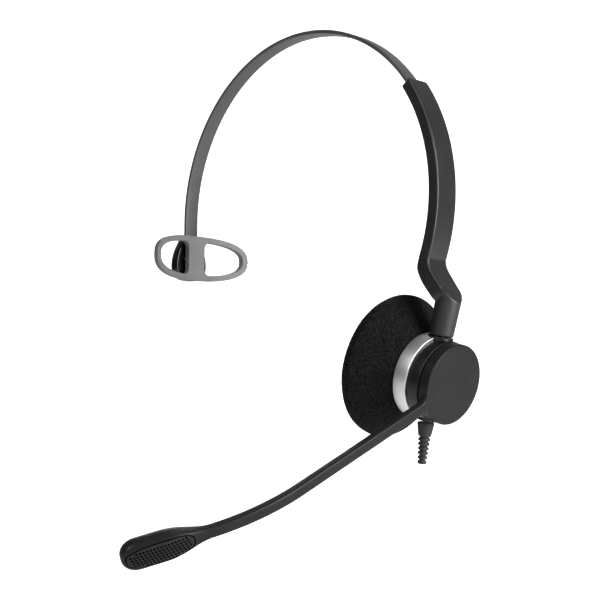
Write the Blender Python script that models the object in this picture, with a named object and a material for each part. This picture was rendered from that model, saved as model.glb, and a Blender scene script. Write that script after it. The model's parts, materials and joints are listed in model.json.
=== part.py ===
"""Single-sided office headset with a rotating microphone boom.

Row frame: +X points to the wearer's left, where the ear cup sits, -Y forwards and +Z up.
The origin is the centre of the headband's arc, inside the wearer's head.
Shapes are drawn in millimetres and scaled to metres as each object is made.
"""

import math

import bmesh
import bpy
from mathutils import Matrix, Vector

MM = 0.001
GAP = 0.3                      # clearance kept between pieces that touch

# Headband
BAND_R = 69.0                  # arc radius on the ear-cup side, and crown height
BAND_SIDE_R = 67.45            # half width on the temple side
BAND_W = 6.7
BAND_T = 1.5
BAND_IN_ARM = 0.0              # degrees: where the strip ends inside the arm
STUD_AT = 3.0                  # degrees: the travel stop near the end of the strip
BAND_FOOT_Z = -13.9            # where the strip ends inside the temple bracket

# Temple rest and its bracket
REST_Z = -15.9
REST_FACE_X = -62.4
REST_BEND_R = 80.0
REST_T = 2.6
REST_HALF_L = 25.5
REST_HALF_H = 9.6
REST_BAR = 2.4
REST_BRIDGE = 3.85             # reach of the bridge between the openings, to the rear
REST_BRIDGE_FRONT = 5.1        # and to the front
BRACKET_FRONT_X = -66.5
BRACKET_T = 5.2
PIVOT_X = -66.7
WINDOW_CORNER = 2.6            # corner radius of the openings beside the bridge
PIN_R = 0.6

# Slider arm
ARM_W = 10.8
ARM_R_IN = 67.1
ARM_R_OUT = 71.5
ARM_TOP = 36.0                 # degrees above horizontal
ARM_FOOT = -20.5
CHANNEL_W = BAND_W + 2 * GAP
CHANNEL_R = BAND_R + BAND_T / 2 + GAP
COVER_T = 0.85
SLOT_WALL_R = 70.85            # radius of the floor of the travel slot and spring bed
TRAVEL_SLOT = (-8.6, 21.4)     # degrees: the slot that the stud runs in
SPRING_BED = (22.0, 32.0)
COVER_SCREWS = (-13.5, -17.5)

# Ear cup: its own axis runs along local Z, out of the cup; depths are negative
CUP_X = 74.5
CUP_Z = -69.5
CUP_TILT = 14.7                # degrees that the outward axis dips below level
DRUM_R = 14.6
DRUM_FRONT = -4.5
DRUM_BACK = -15.9
RING_R = 15.3
RING_FRONT = -9.5
RING_BACK = -15.2
NECK_DEPTH = -10.0             # depth of the swivel axis behind the hub face
NECK_FOOT = 15.6               # height of the neck's foot above the cup axis
NECK_TOP = 32.0
NECK_R_FOOT = 4.35
NECK_R_TOP = 4.75
COLLAR_R = 4.5
STEM_R = 2.0
RELIEF_DEPTH = -8.8
RELIEF_LEAN = 7.3              # degrees that the strain relief hangs back towards plumb
SCREW_AT = 7.7                 # the four housing screws sit at +- this on both axes

# Cushion and speaker
CUSHION_R = 26.5
CUSHION_FACE = -31.5
FLARE_R = 22.6
FLARE_BACK = -26.0

# Boom
HUB_R = 14.5
HUB_T = 4.15
BOOM_ANGLE = 26.5              # degrees below forward, in the plane of the hub
BOOM_DROP = 1.4
BOOM_W = 3.9
BOOM_T = 2.95
BOOM_STRAIGHT = 74.7           # where the inward bend starts
BOOM_BEND_END = 108.3
BOOM_BEND_R = 73.2
FILLET_HIGH = 3.0              # fillets between the hub and the bar
FILLET_LOW = 5.0
BOOM_LENGTH = 135.7            # along the centre line, hub centre to tip
HEAD_START = 107.1
HEAD_GROW = 15.5
HEAD_W = 9.8
HEAD_T = 7.6
TIP_L = 5.7
PANEL_AT = 123.6               # centre of the sound panel along the boom
PANEL_HALF_L = 11.0
PANEL_HALF_W = 3.6


def clear_scene():
    for obj in list(bpy.data.objects):
        bpy.data.objects.remove(obj, do_unlink=True)


# ---------------------------------------------------------------- small tools

def material(name, color, roughness, metallic=0.0):
    mat = bpy.data.materials.new(name)
    mat.use_nodes = True
    shader = mat.node_tree.nodes["Principled BSDF"]
    shader.inputs["Base Color"].default_value = (*color, 1.0)
    shader.inputs["Roughness"].default_value = roughness
    shader.inputs["Metallic"].default_value = metallic
    mat.diffuse_color = (*color, 1.0)
    return mat


def empty(name, location, rotation=(0.0, 0.0, 0.0)):
    obj = bpy.data.objects.new(name, None)
    obj.location = [c * MM for c in location]
    obj.rotation_euler = rotation
    bpy.context.scene.collection.objects.link(obj)
    return obj


def finish_mesh(name, bm, mat, parent, smooth=35.0):
    bmesh.ops.remove_doubles(bm, verts=bm.verts, dist=1e-5)
    bmesh.ops.recalc_face_normals(bm, faces=bm.faces)
    bm.transform(Matrix.Scale(MM, 4))
    mesh = bpy.data.meshes.new(name)
    bm.to_mesh(mesh)
    bm.free()
    if mat:
        mesh.materials.append(mat)
    mesh.shade_smooth()
    mesh.set_sharp_from_angle(angle=math.radians(smooth))
    obj = bpy.data.objects.new(name, mesh)
    bpy.context.scene.collection.objects.link(obj)
    obj.parent = parent
    return obj


def tool(name, bm, parent):
    """A cutter or an addition that only shapes another object."""
    obj = finish_mesh(name, bm, None, parent)
    obj.hide_render = True
    obj.display_type = "WIRE"
    return obj


def boolean(obj, operation, other):
    mod = obj.modifiers.new(operation.lower() + "_" + other.name, "BOOLEAN")
    mod.operation = operation
    mod.solver = "EXACT"
    mod.object = other


def cut(obj, bm, name):
    boolean(obj, "DIFFERENCE", tool(name, bm, obj.parent))


def join(obj, bm, name):
    boolean(obj, "UNION", tool(name, bm, obj.parent))


def keep(obj, bm, name):
    boolean(obj, "INTERSECT", tool(name, bm, obj.parent))


def merged(*parts):
    """Several meshes in one, as separate bodies."""
    out = bmesh.new()
    for part in parts:
        mesh = bpy.data.meshes.new("part")
        part.to_mesh(mesh)
        part.free()
        out.from_mesh(mesh)
        bpy.data.meshes.remove(mesh)
    return out


def moved(bm, matrix):
    bm.transform(matrix)
    return bm


def loft(rings):
    """Skin through closed rings of equal length, with flat ends."""
    bm = bmesh.new()
    rows = [[bm.verts.new(p) for p in ring] for ring in rings]
    for a, b in zip(rows, rows[1:]):
        for i in range(len(a)):
            j = (i + 1) % len(a)
            bm.faces.new((a[i], a[j], b[j], b[i]))
    bm.faces.new(rows[0])
    bm.faces.new(rows[-1])
    return bm


def turned(profile, segments=48):
    """Closed solid turned about Z from (radius, height) points in order round its section."""
    bm = bmesh.new()
    rows = []
    for r, z in profile:
        if r < 1e-6:
            rows.append([bm.verts.new((0, 0, z))])
        else:
            turn = [2 * math.pi * i / segments for i in range(segments)]
            rows.append([bm.verts.new((r * math.cos(a), r * math.sin(a), z)) for a in turn])
    for a, b in zip(rows, rows[1:] + rows[:1]):
        if len(a) == 1 and len(b) == 1:
            continue
        for i in range(segments):
            j = (i + 1) % segments
            corners = [a[i % len(a)], a[j % len(a)], b[j % len(b)], b[i % len(b)]]
            bm.faces.new(list(dict.fromkeys(corners)))
    return bm


def rod(radius, low, high, segments=24):
    return turned([(0, low), (radius, low), (radius, high), (0, high)], segments)


def tube(inner, outer, low, high, segments=48):
    return turned([(inner, low), (outer, low), (outer, high), (inner, high)], segments)


def block(low, high):
    bm = bmesh.new()
    bmesh.ops.create_cube(bm, size=1.0)
    size = [h - l for l, h in zip(low, high)]
    middle = [(h + l) / 2 for l, h in zip(low, high)]
    bm.transform(Matrix.Translation(middle) @ Matrix.Diagonal((*size, 1)))
    return bm


def prism(outline, low, high, axis="Z"):
    """Outline of 2-D points carried from low to high along an axis."""
    place = {
        "X": lambda p, h: (h, p[0], p[1]),
        "Y": lambda p, h: (p[0], h, p[1]),
        "Z": lambda p, h: (p[0], p[1], h),
    }[axis]
    return loft([[place(p, low) for p in outline], [place(p, high) for p in outline]])


def superellipse(a, b, power, count=48):
    out = []
    for i in range(count):
        t = 2 * math.pi * i / count
        c, s = math.cos(t), math.sin(t)
        out.append((a * math.copysign(abs(c) ** (2 / power), c),
                    b * math.copysign(abs(s) ** (2 / power), s)))
    return out


def smooth_through(points, steps):
    """Catmull-Rom curve through open control points."""
    ends = [points[0]] + list(points) + [points[-1]]
    out = []
    for p0, p1, p2, p3 in zip(ends, ends[1:], ends[2:], ends[3:]):
        for k in range(steps):
            t = k / steps
            out.append(tuple(
                0.5 * (2 * b + (c - a) * t + (2 * a - 5 * b + 4 * c - d) * t * t
                       + (3 * b - a - 3 * c + d) * t ** 3)
                for a, b, c, d in zip(p0, p1, p2, p3)))
    out.append(tuple(points[-1]))
    return out


def polar(radius, degrees, y=0.0):
    a = math.radians(degrees)
    return Vector((radius * math.cos(a), y, radius * math.sin(a)))


def spread(first, last, count):
    return [first + (last - first) * i / (count - 1) for i in range(count)]


def arc_bar(r_in, r_out, width, first, last, count):
    """Bar of rectangular section that follows the band's arc between two angles."""
    half = width / 2
    return loft([[polar(r_in, a, -half), polar(r_out, a, -half),
                  polar(r_out, a, half), polar(r_in, a, half)]
                 for a in spread(first, last, count)])


def along(axis_from, axis_to):
    """Turn that carries local Z onto the line from one point to another."""
    line = Vector(axis_to) - Vector(axis_from)
    turn = line.to_track_quat("Z", "Y").to_matrix().to_4x4()
    return Matrix.Translation(axis_from) @ turn


# ---------------------------------------------------------------- headband

def band_line(stations=36):
    """Centre line of the strip as (point, outward normal), from the arm to the temple."""
    out = []
    for a in spread(BAND_IN_ARM, 90.0, stations // 2):
        out.append((polar(BAND_R, a), polar(1.0, a)))
    for a in spread(90.0, 180.0, stations // 2)[1:]:
        c, s = math.cos(math.radians(a)), math.sin(math.radians(a))
        point = Vector((BAND_SIDE_R * c, 0, BAND_R * s))
        out.append((point, Vector((c / BAND_SIDE_R, 0, s / BAND_R)).normalized()))
    out.append((Vector((-BAND_SIDE_R, 0, BAND_FOOT_Z)), Vector((-1, 0, 0))))
    return out


def make_headband(mats):
    half_w, half_t = BAND_W / 2, BAND_T / 2
    ease = 0.25
    rings = []
    for point, normal in band_line():
        side = Vector((0, 1, 0))
        corners = [(-half_w, -half_t + ease), (-half_w + ease, -half_t),
                   (half_w - ease, -half_t), (half_w, -half_t + ease),
                   (half_w, half_t - ease), (half_w - ease, half_t),
                   (-half_w + ease, half_t), (-half_w, half_t - ease)]
        rings.append([point + side * w + normal * t for w, t in corners])
    strip = finish_mesh("headband_strip", loft(rings), mats["band"], None, 30)
    for side in (-1, 1):
        hole = moved(rod(0.95, -5, 5, 16), Matrix.Translation((-BAND_SIDE_R, side * 1.8, -10.8))
                     @ Matrix.Rotation(math.pi / 2, 4, "Y"))
        cut(strip, hole, f"cut_strip_rivet_{side}")
    stud_hole = moved(rod(1.0, -5, 5, 16), along(polar(66, STUD_AT), polar(74, STUD_AT)) @
                      Matrix.Translation((0, 0, 3)))
    cut(strip, stud_hole, "cut_strip_stud")

    stud = turned([(0, 68.4), (0.75, 68.4), (0.75, BAND_R + BAND_T / 2 + 0.1),
                   (1.4, BAND_R + BAND_T / 2 + 0.1), (1.4, 70.5), (0, 70.5)], 16)
    finish_mesh("travel_stop_stud", moved(stud, along((0, 0, 0), polar(1, STUD_AT))), mats["steel"], None)


def bracket_outline():
    right = [(4.4, -7.9), (5.6, -10.0), (6.9, -12.5), (7.9, -15.5), (8.3, -18.2),
             (8.1, -20.9), (7.0, -23.3), (4.4, -25.0), (0.0, -25.5)]
    curve = smooth_through(right, 2)
    return curve + [(-y, z) for y, z in reversed(curve[:-1])]


def make_temple_bracket(mats):
    outline = bracket_outline()
    back = BRACKET_FRONT_X - BRACKET_T
    inset = 1.1
    middle = Vector((0, -17.0))

    def ring(x, shrink):
        out = []
        for y, z in outline:
            away = (Vector((y, z)) - middle)
            place = middle + away * (1 - shrink / away.length)
            out.append((x, place.x, place.y))
        return out

    body = loft([ring(back, 2.6), ring(back + 0.35, inset), ring(back + 1.2, 0.2),
                 ring(back + 1.8, 0.0), ring(BRACKET_FRONT_X - 0.4, 0.0),
                 ring(BRACKET_FRONT_X, 0.4)])
    bracket = finish_mesh("temple_bracket", body, mats["gloss_black"], None, 40)
    ears = [moved(rod(1.45, side * 3.15 - 0.75, side * 3.15 + 0.75, 20),
                  Matrix.Translation((PIVOT_X, 0, REST_Z)) @ Matrix.Rotation(-math.pi / 2, 4, "X"))
            for side in (-1, 1)]
    join(bracket, merged(*ears), "add_pivot_ears")
    pocket = block((PIVOT_X - 2.0, -2.4, REST_Z - 2.0), (PIVOT_X + 3, 2.4, REST_Z + 1.95))
    cut(bracket, pocket, "cut_knuckle_pocket")
    slot_back = -BAND_SIDE_R - BAND_T / 2 - GAP
    slot = block((slot_back, -BAND_W / 2 - GAP, BAND_FOOT_Z - 0.2),
                 (slot_back + 4, BAND_W / 2 + GAP, 0))
    cut(bracket, slot, "cut_band_slot")
    pin_hole = moved(rod(PIN_R + 0.1, -6, 6, 16), Matrix.Translation((PIVOT_X, 0, REST_Z))
                     @ Matrix.Rotation(math.pi / 2, 4, "X"))
    cut(bracket, pin_hole, "cut_pin_hole")
    for number, side in enumerate((-1, 1), 1):
        place = Matrix.Translation((0, side * 1.8, -10.8)) @ Matrix.Rotation(math.pi / 2, 4, "Y")
        cut(bracket, moved(rod(0.95, -80, -60, 16), place), f"cut_bracket_rivet_{side}")
        rivet = turned([(0, back - 0.8), (1.2, back - 0.65), (1.5, back - 0.2),
                        (0.75, back - 0.2), (0.75, -66.6), (0, -66.6)], 16)
        finish_mesh(f"bracket_rivet_{number}", moved(rivet, place), mats["steel"], None)
    pin = moved(rod(PIN_R, -3.9, 3.9, 16), Matrix.Translation((PIVOT_X, 0, REST_Z))
                @ Matrix.Rotation(math.pi / 2, 4, "X"))
    finish_mesh("temple_pivot_pin", pin, mats["steel"], None)


def opening_outline(side):
    """One window of the temple rest: concentric with its rim, with rounded corners at the bridge."""
    rim = superellipse(REST_HALF_L - REST_BAR, REST_HALF_H - REST_BAR, 2.5, 36)
    start = (REST_BRIDGE if side > 0 else REST_BRIDGE_FRONT) + WINDOW_CORNER
    curve = [(y, z) for y, z in rim if y > start]
    upper = sorted([p for p in curve if p[1] >= 0], key=lambda p: p[0])
    lower = sorted([p for p in curve if p[1] < 0], key=lambda p: -p[0])
    top_z, low_z = upper[0][1], lower[-1][1]
    corner = []
    for a in spread(90, 180, 5):
        c, s = math.cos(math.radians(a)), math.sin(math.radians(a))
        corner.append((start + WINDOW_CORNER * c, top_z - WINDOW_CORNER * (1 - s)))
    foot = []
    for a in spread(180, 270, 5):
        c, s = math.cos(math.radians(a)), math.sin(math.radians(a))
        foot.append((start + WINDOW_CORNER * c, low_z + WINDOW_CORNER * (1 + s)))
    loop = upper + lower + foot[::-1] + corner[::-1]
    return [(side * y, z) for y, z in loop]


def make_temple_rest(mats, pivot):
    """Rubber oval, bent to the side of the head, hung on the bracket's pin."""
    centre_x = REST_FACE_X + REST_BEND_R - PIVOT_X
    steps = [math.radians(a) for a in spread(161, 199, 16)]

    def bent(radius):
        return [(centre_x + radius * math.cos(a), radius * math.sin(a)) for a in steps]

    plate = prism(bent(REST_BEND_R) + bent(REST_BEND_R + REST_T)[::-1], -12, 12)
    rest = finish_mesh("temple_rest", plate, mats["grey_rubber"], pivot, 40)
    rim = prism(superellipse(REST_HALF_L, REST_HALF_H, 2.6, 36), -20, 20, "X")
    keep(rest, rim, "keep_rest_outline")
    for side in (-1, 1):
        cut(rest, prism(opening_outline(side), -21, 21, "X"), f"cut_rest_window_{side}")
    neck = block((-0.9, -2.1, -1.3), (REST_FACE_X - REST_T - PIVOT_X + 0.8, 2.1, 1.3))
    knuckle = moved(rod(1.6, -2.1, 2.1, 20), Matrix.Rotation(math.pi / 2, 4, "X"))
    join(rest, neck, "add_rest_lug")
    join(rest, knuckle, "add_rest_knuckle")
    bore = moved(rod(PIN_R + 0.1, -3, 3, 16), Matrix.Rotation(math.pi / 2, 4, "X"))
    cut(rest, bore, "cut_rest_bore")


# ---------------------------------------------------------------- slider arm

def cup_matrix():
    """Ear-cup frame: local Z out of the cup, local X down, local Y backwards."""
    return (Matrix.Translation((CUP_X, 0, CUP_Z))
            @ Matrix.Rotation(math.radians(90 + CUP_TILT), 4, "Y"))


def neck_matrix():
    """Frame on the swivel axis: local Z up the neck, origin on the cup's own axis."""
    return cup_matrix() @ Matrix.Translation((0, 0, NECK_DEPTH)) @ Matrix.Rotation(-math.pi / 2, 4, "Y")


def arm_ring(outer, inner, half, ease=0.45):
    """Eased rectangular section between an outer and an inner point of the side view."""
    outer, inner = Vector((outer[0], 0, outer[1])), Vector((inner[0], 0, inner[1]))
    out = (outer - inner).normalized()
    side = Vector((0, 1, 0))
    return [outer - out * ease - side * half, outer - side * (half - ease),
            outer + side * (half - ease), outer - out * ease + side * half,
            inner + out * ease + side * half, inner + side * (half - ease),
            inner - side * (half - ease), inner + out * ease - side * half]


def make_arm(mats):
    half = ARM_W / 2
    rings = []
    rounded_end = [(0.0, 0.6, 1.1), (0.25, 0.15, 0.55), (0.7, 0.0, 0.15), (1.4, 0.0, 0.0)]
    stations = [(ARM_TOP - drop, tuck, narrow) for drop, tuck, narrow in rounded_end]
    stations += [(a, 0.0, 0.0) for a in spread(ARM_TOP, ARM_FOOT, 18)[1:]]
    for a, tuck, narrow in stations:
        outer, inner = polar(ARM_R_OUT - tuck, a), polar(ARM_R_IN + tuck, a)
        rings.append(arm_ring((outer.x, outer.z), (inner.x, inner.z), half - narrow))
    bend = [((67.2, -26.5), (61.9, -27.2), half), ((67.9, -28.25), (62.3, -29.6), half),
            ((69.8, -31.15), (64.0, -33.0), half), ((72.05, -34.25), (66.4, -36.3), half - 0.1),
            ((74.3, -37.05), (68.7, -39.3), half - 0.5), ((75.6, -39.0), (70.6, -41.6), 3.4)]
    for outer, inner, width in bend:
        rings.append(arm_ring(outer, inner, width))
    arm = finish_mesh("arm_shell", loft(rings), mats["arm"], None, 28)
    neck = turned([(0, NECK_FOOT), (NECK_R_FOOT - 0.3, NECK_FOOT), (NECK_R_FOOT, NECK_FOOT + 0.3),
                   (NECK_R_TOP, NECK_TOP), (0, NECK_TOP)], 28)
    join(arm, moved(neck, neck_matrix()), "add_neck")
    top, foot = Vector((67.9, -28.25)), Vector((74.15, -37.05))
    slope = (foot - top).normalized()
    outward = Vector((-slope.y, slope.x))
    shave = prism([top, top + slope * 18, top + slope * 18 + outward * 12, top + outward * 12],
                  -9, 9, "Y")
    cut(arm, shave, "cut_outer_slope")
    bore = rod(3.2, NECK_FOOT - 2, 27.3, 16)
    cut(arm, moved(bore, neck_matrix()), "cut_neck_bore")
    channel = arc_bar(ARM_R_IN - 3, CHANNEL_R, CHANNEL_W, ARM_TOP + 5, -20.0, 18)
    cut(arm, channel, "cut_band_channel")
    travel = arc_bar(CHANNEL_R - 0.8, SLOT_WALL_R, 3.6, *TRAVEL_SLOT, 10)
    cut(arm, travel, "cut_travel_slot")
    spring_bed = arc_bar(CHANNEL_R - 0.8, SLOT_WALL_R, 5.6, *SPRING_BED, 4)
    cut(arm, spring_bed, "cut_spring_bed")

    cover = arc_bar(ARM_R_IN, ARM_R_IN + COVER_T, BAND_W, ARM_TOP - 0.6, -19.7, 18)
    plate = finish_mesh("arm_inner_cover", cover, mats["arm"], None)
    for number, angle in enumerate(COVER_SCREWS, 1):
        line = along((0, 0, 0), polar(1, angle))
        cut(plate, moved(rod(0.95, 60, 75, 16), line), f"cut_cover_screw_{number}")
        screw = turned([(0, 66.6), (1.5, 66.6), (1.5, 66.85), (0.7, 66.85), (0.7, 69.7),
                        (0, 69.7)], 16)
        finish_mesh(f"arm_cover_screw_{number}", moved(screw, line), mats["steel"], None)

    rings = []
    first, last = SPRING_BED[0] + 0.6, SPRING_BED[1] - 0.6
    for a in spread(first, last, 7):
        rise = 0.45 * math.sin(math.pi * (a - first) / (last - first))
        low, high = 70.35 - rise, 70.65 - rise
        rings.append([polar(low, a, -2.4), polar(high, a, -2.4),
                      polar(high, a, 2.4), polar(low, a, 2.4)])
    finish_mesh("arm_friction_spring", loft(rings), mats["steel"], None)

    bush = moved(tube(STEM_R + 0.15, 2.9, NECK_FOOT + 0.6, 22.6, 16), neck_matrix())
    finish_mesh("neck_bush", bush, mats["brass"], None)


# ---------------------------------------------------------------- ear cup

def in_cup(height):
    """Turn that carries local Z onto the neck direction, inside the cup frame."""
    return Matrix.Translation((0, 0, height)) @ Matrix.Rotation(-math.pi / 2, 4, "Y")


def down_the_cup(height):
    return Matrix.Translation((0, 0, height)) @ Matrix.Rotation(math.pi / 2, 4, "Y")


def screw_places():
    return [(x * SCREW_AT, y * SCREW_AT) for x in (-1, 1) for y in (-1, 1)]


def make_drum(mats, cup):
    shell = turned([(3.4, DRUM_FRONT), (DRUM_R - 0.5, DRUM_FRONT), (DRUM_R - 0.15, DRUM_FRONT - 0.15),
                    (DRUM_R, DRUM_FRONT - 0.5), (DRUM_R, RING_FRONT + 0.2),
                    (14.05, RING_FRONT + 0.2), (14.05, DRUM_BACK), (12.8, DRUM_BACK),
                    (12.8, DRUM_FRONT - 1.6), (3.4, DRUM_FRONT - 1.6)], 36)
    drum = finish_mesh("drum_housing", shell, mats["drum_black"], cup)
    join(drum, moved(rod(5.25, 10.4, 13.3, 20), in_cup(NECK_DEPTH)), "add_stem_boss")
    join(drum, moved(rod(4.15, 11.0, 13.4, 12), down_the_cup(RELIEF_DEPTH)), "add_relief_boss")
    posts = [moved(rod(1.9, -15.6, DRUM_FRONT - 0.8, 8), Matrix.Translation((x, y, 0)))
             for x, y in screw_places()]
    join(drum, merged(*posts), "add_screw_posts")
    holes = [moved(rod(1.25, -17, -10.4, 6), Matrix.Translation((x, y, 0)))
             for x, y in screw_places()]
    cut(drum, merged(*holes), "cut_screw_holes")
    cut(drum, moved(rod(COLLAR_R + GAP, 13.1, 18, 20), in_cup(NECK_DEPTH)), "cut_collar_seat")
    cut(drum, moved(rod(STEM_R + GAP + 0.05, 8, 18, 12), in_cup(NECK_DEPTH)), "cut_stem_hole")
    cut(drum, moved(rod(3.8, 13.2, 18, 16), down_the_cup(RELIEF_DEPTH)), "cut_socket_seat")
    cut(drum, moved(rod(1.9, 8, 18, 8), down_the_cup(RELIEF_DEPTH)), "cut_lead_hole")

    ring = turned([(14.35, RING_BACK), (RING_R - 0.25, RING_BACK), (RING_R, RING_BACK + 0.25),
                   (RING_R, RING_FRONT - 0.15), (RING_R - 0.2, RING_FRONT),
                   (14.35, RING_FRONT)], 40)
    band = finish_mesh("silver_ring", ring, mats["silver"], cup)
    cut(band, moved(rod(COLLAR_R + GAP, 10, 20, 20), in_cup(NECK_DEPTH)), "cut_ring_neck_notch")
    cut(band, moved(rod(3.95, 10, 20, 16), down_the_cup(RELIEF_DEPTH)), "cut_ring_relief_notch")

    collar = tube(STEM_R + GAP, COLLAR_R, 13.4, NECK_FOOT - 0.4, 28)
    finish_mesh("swivel_collar", moved(collar, in_cup(NECK_DEPTH)), mats["drum_black"], cup)
    washer = tube(STEM_R + 0.15, 2.95, NECK_FOOT - 0.25, NECK_FOOT + 0.4, 16)
    finish_mesh("swivel_washer", moved(washer, in_cup(NECK_DEPTH)), mats["rubber"], cup)
    stem = turned([(0, 8.9), (3.5, 8.9), (3.5, 10.1), (STEM_R, 10.1), (STEM_R, 23.0), (1.6, 23.0),
                   (1.6, 23.9), (STEM_R, 23.9), (STEM_R, 26.0), (0, 26.0)], 16)
    finish_mesh("swivel_stem", moved(stem, in_cup(NECK_DEPTH)), mats["steel"], cup)
    clip = prism(ring_outline(1.75, 2.95, 300), 23.15, 23.75)
    finish_mesh("stem_clip", moved(clip, in_cup(NECK_DEPTH)), mats["steel"], cup)

    bush = turned([(2.62, -4.3), (3.15, -4.3), (3.15, -6.35), (4.4, -6.35), (4.4, -6.95),
                   (2.62, -6.95)], 20)
    finish_mesh("boom_bush", bush, mats["brass"], cup)


def ring_outline(inner, outer, sweep, count=9):
    """Outline of an open ring that spans sweep degrees."""
    angles = [math.radians(a) for a in spread(-sweep / 2, sweep / 2, count)]
    return ([(outer * math.cos(a), outer * math.sin(a)) for a in angles]
            + [(inner * math.cos(a), inner * math.sin(a)) for a in reversed(angles)])


def make_strain_relief(mats, cup):
    place = down_the_cup(RELIEF_DEPTH)
    socket = tube(1.9, 3.45, 13.5, 15.2, 20)
    finish_mesh("relief_socket", moved(socket, place), mats["drum_black"], cup)

    ribs, pitch = 6, 1.62
    profile = [(0.95, 0.0), (2.95, 0.0), (3.0, 0.8), (2.55, 3.6), (2.25, 5.0)]
    for i in range(ribs):
        start = 5.0 + i * pitch
        crest = 2.15 - 0.11 * i
        root = crest - 0.5
        profile += [(root, start + 0.1), (root, start + 0.6), (crest, start + 0.7),
                    (crest, start + pitch)]
    tip = 5.0 + ribs * pitch
    profile += [(1.5, tip + 0.25), (0.95, tip + 0.25)]
    relief = turned(profile, 12)
    lean = (place @ Matrix.Translation((0, 0, 15.9))
            @ Matrix.Rotation(math.radians(-RELIEF_LEAN), 4, "Y"))
    finish_mesh("strain_relief", moved(relief, lean), mats["rubber"], cup)

    clamp = prism([(-2.6, -2.2), (2.6, -2.2), (2.6, 2.2), (-2.6, 2.2)], 9.0, 10.6)
    clamp = finish_mesh("cord_clamp", moved(clamp, place), mats["steel"], cup)
    cut(clamp, moved(rod(1.0, 8, 12, 16), place), "cut_clamp_hole")


def make_speaker(mats, cup):
    wall = 1.2
    flare = turned([(4.0, -16.2), (14.2, -16.2), (FLARE_R, FLARE_BACK), (FLARE_R, -27.2),
                    (FLARE_R - 1.3, -27.2), (FLARE_R - 1.3, FLARE_BACK + 0.3),
                    (13.6, -16.2 - wall), (4.0, -16.2 - wall)], 28)
    housing = finish_mesh("speaker_housing", flare, mats["drum_black"], cup)
    holes = [moved(rod(1.3, -20, -15, 6), Matrix.Translation((x, y, 0)))
             for x, y in screw_places()]
    cut(housing, merged(*holes), "cut_housing_screws")
    for number, (x, y) in enumerate(screw_places(), 1):
        screw = turned([(0, -18.6), (1.7, -18.6), (1.8, -17.7), (0.95, -17.7), (0.95, -11.0),
                        (0, -10.7)], 12)
        finish_mesh(f"housing_screw_{number}", moved(screw, Matrix.Translation((x, y, 0))),
                    mats["steel"], cup)

    finish_mesh("baffle_plate", tube(14.7, 20.2, -26.5, -25.2, 24), mats["drum_black"], cup)
    basket = turned([(6.9, -20.7), (13.6, -20.7), (14.3, -21.2), (14.3, -24.0), (16.4, -24.0),
                     (16.4, -24.8), (13.6, -24.8), (13.6, -21.5), (6.9, -21.5)], 20)
    finish_mesh("speaker_basket", basket, mats["steel"], cup)
    magnet = turned([(0, -18.2), (7.6, -18.2), (7.9, -18.5), (7.9, -20.4), (0, -20.4)], 20)
    finish_mesh("speaker_magnet", magnet, mats["magnet"], cup)
    finish_mesh("voice_coil", tube(5.6, 6.2, -23.6, -20.8, 16), mats["copper"], cup)
    upper = smooth_through([(0.0, -25.2), (3.2, -24.8), (6.0, -23.95), (9.0, -24.35), (13.0, -24.1)], 1)
    skin = [(r, z) for r, z in upper] + [(r, z - 0.25) for r, z in reversed(upper)]
    finish_mesh("speaker_diaphragm", turned(skin, 20), mats["film"], cup)
    grille = finish_mesh("speaker_grille", rod(20.4, -27.6, -26.9, 24), mats["drum_black"], cup)
    pins = [rod(1.5, -30, -24, 6)]
    for count, radius in ((6, 6.0), (10, 12.0)):
        for i in range(count):
            a = 2 * math.pi * i / count
            pins.append(moved(rod(1.5, -30, -24, 6),
                              Matrix.Translation((radius * math.cos(a), radius * math.sin(a), 0))))
    cut(grille, merged(*pins), "cut_grille_holes")
    finish_mesh("damping_felt", rod(20.0, -28.2, -27.85, 24), mats["felt"], cup)
    board = turned([(3.4, -13.9), (8.6, -13.9), (8.6, -13.0), (3.4, -13.0)], 20)
    finish_mesh("circuit_board", board, mats["board"], cup)
    for number, side in enumerate((-1, 1), 1):
        path = smooth_through([(2.0, side * 5.2, -14.2), (1.2, side * 3.2, -15.2),
                               (0.6, side * 2.6, -16.8), (0.4, side * 2.4, -17.9)], 4)
        finish_mesh(f"speaker_lead_{number}", wire(path, 0.4, 6), mats["lead_red"], cup)


def wire(path, radius, sides=8):
    """Round wire along a list of points, with flat ends."""
    points = [Vector(p) for p in path]
    rings = []
    side = None
    for i, p in enumerate(points):
        ahead = (points[min(i + 1, len(points) - 1)] - points[max(i - 1, 0)]).normalized()
        if side is None:
            side = ahead.orthogonal().normalized()
        side = (side - ahead * side.dot(ahead)).normalized()
        up = ahead.cross(side)
        rings.append([p + (side * math.cos(2 * math.pi * k / sides)
                           + up * math.sin(2 * math.pi * k / sides)) * radius for k in range(sides)])
    return loft(rings)


def make_ear_cushion(mats, cup):
    outer = smooth_through([(15.5, -15.6), (20.6, -20.3), (24.9, -24.9), (26.25, -26.4),
                            (CUSHION_R, -27.8), (26.0, -29.5), (24.6, -30.9),
                            (22.2, CUSHION_FACE)], 1)
    profile = ([(14.6, -15.6)] + outer
               + [(0, CUSHION_FACE), (0, -28.5), (23.2, -28.5), (23.25, -27.4),
                  (FLARE_R + 0.4, FLARE_BACK)])
    finish_mesh("ear_cushion", turned(profile, 40), mats["foam"], cup)


# ---------------------------------------------------------------- boom

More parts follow.
